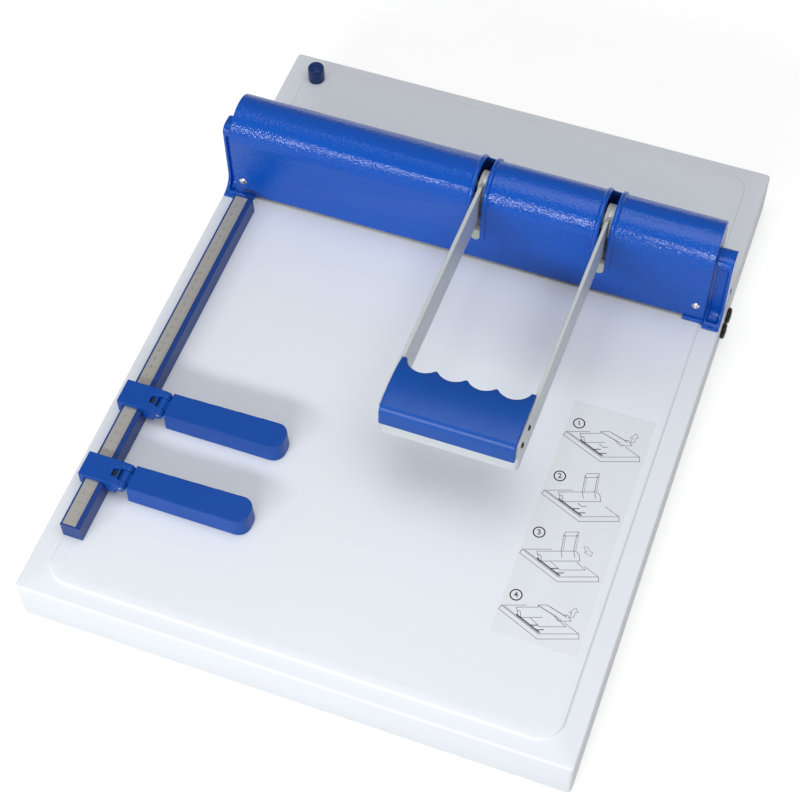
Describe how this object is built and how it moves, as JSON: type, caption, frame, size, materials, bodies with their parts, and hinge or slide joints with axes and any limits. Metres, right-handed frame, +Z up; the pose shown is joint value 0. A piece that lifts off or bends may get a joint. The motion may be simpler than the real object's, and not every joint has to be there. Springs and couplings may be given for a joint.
{
  "type": "paper creasing machine",
  "caption": "Desktop paper creasing machine: white steel table, blue cover over a cam-pressed blade, U-shaped lever with a finger grip, side rail with sliding flip-up stops.",
  "frame": {"origin": "middle of the table's footprint, on the surface that the rubber feet stand on", "axes": "+X along the crease to the operator's right, +Y from the operator to the back, +Z up"},
  "size_m": [0.5353, 0.7, 0.1776],
  "materials": {
    "white_paint": "satin powder coat",
    "grey_paint": "satin paint",
    "blue_paint": "glossy orange-peel paint",
    "navy_paint": "satin paint",
    "blue_plastic": "smooth moulded",
    "black_plastic": "smooth moulded",
    "bar_steel": "bare flat bar, lightly brushed",
    "grey_steel": "machined",
    "zinc": "zinc plated",
    "black_screw": "black oxide",
    "brass_strip": "machined",
    "scale_strip": "matt anodised",
    "nylon": "natural nylon",
    "black_rubber": "matt"
  },
  "bodies": {
    "table": {"base_shell": "white_paint", "stiffener_channels": "white_paint", "rubber_feet": "black_rubber", "foot_screws": "zinc", "bed_channel": "grey_paint", "anvil_bar": "grey_paint", "creasing_matrix": "brass_strip", "left_bracket": "blue_paint", "right_bracket": "blue_paint", "bracket_bolts": "zinc", "shaft_bushes": "brass_strip", "blade_guides": "zinc", "cover": "blue_paint", "cover_screws": "zinc", "slot_bumpers": "nylon", "guide_rail": "navy_paint", "rail_end_caps": "navy_paint", "rail_scale": "scale_strip", "rail_screws": "zinc", "rear_peg": "navy_paint", "peg_screw": "zinc", "return_springs": "zinc"},
    "lever": {"cam_shaft": "zinc", "cams": "grey_steel", "cam_set_screws": "black_screw", "arm_collars": "nylon", "handle_frame": "bar_steel", "handle_grip": "blue_plastic", "grip_screws": "black_screw"},
    "blade": {"blade_bar": "grey_steel", "crease_blade": "zinc", "blade_clamp": "grey_steel", "blade_screws": "black_screw"},
    "front_slide": {"front_slider": "blue_plastic", "front_friction_pad": "black_rubber", "front_hinge_pin": "zinc"},
    "front_arm": {"front_stop_arm": "blue_plastic"},
    "rear_slide": {"rear_slider": "blue_plastic", "rear_friction_pad": "black_rubber", "rear_hinge_pin": "zinc"},
    "rear_arm": {"rear_stop_arm": "blue_plastic"},
    "front_knob": {"front_clamp_knob": "black_plastic", "front_clamp_screw": "zinc"},
    "rear_knob": {"rear_clamp_knob": "black_plastic", "rear_clamp_screw": "zinc"}
  },
  "joints": [
    {"name": "lever_lift", "type": "hinge", "parent": "table", "child": "lever", "pos_m": [0.0734, 0.17, 0.136], "axis": [-1, 0, 0], "range_deg": [0, 95]},
    {"name": "blade_rise", "type": "slide", "parent": "table", "child": "blade", "axis": [0, 0, 1], "range_m": [0, 0.00521], "deforming": ["return_springs"]},
    {"name": "front_stop_slide", "type": "slide", "parent": "table", "child": "front_slide", "axis": [0, 1, 0], "range_m": [-0.05, 0.022]},
    {"name": "front_stop_flip", "type": "hinge", "parent": "front_slide", "child": "front_arm", "pos_m": [-0.209, -0.2228, 0.0765], "axis": [0, -1, 0], "range_deg": [0, 95]},
    {"name": "rear_stop_slide", "type": "slide", "parent": "table", "child": "rear_slide", "axis": [0, 1, 0], "range_m": [-0.028, 0.245]},
    {"name": "rear_stop_flip", "type": "hinge", "parent": "rear_slide", "child": "rear_arm", "pos_m": [-0.209, -0.1375, 0.0765], "axis": [0, -1, 0], "range_deg": [0, 95]},
    {"name": "front_knob_turn", "type": "hinge", "parent": "table", "child": "front_knob", "pos_m": [0.2653, 0.16, 0.027], "axis": [1, 0, 0], "continuous": true},
    {"name": "rear_knob_turn", "type": "hinge", "parent": "table", "child": "rear_knob", "pos_m": [0.2653, 0.18, 0.027], "axis": [1, 0, 0], "continuous": true}
  ],
  "couplings": [
    {"joint": "blade_rise", "follows": "lever_lift", "m_per_rad": 0.003136}
  ]
}
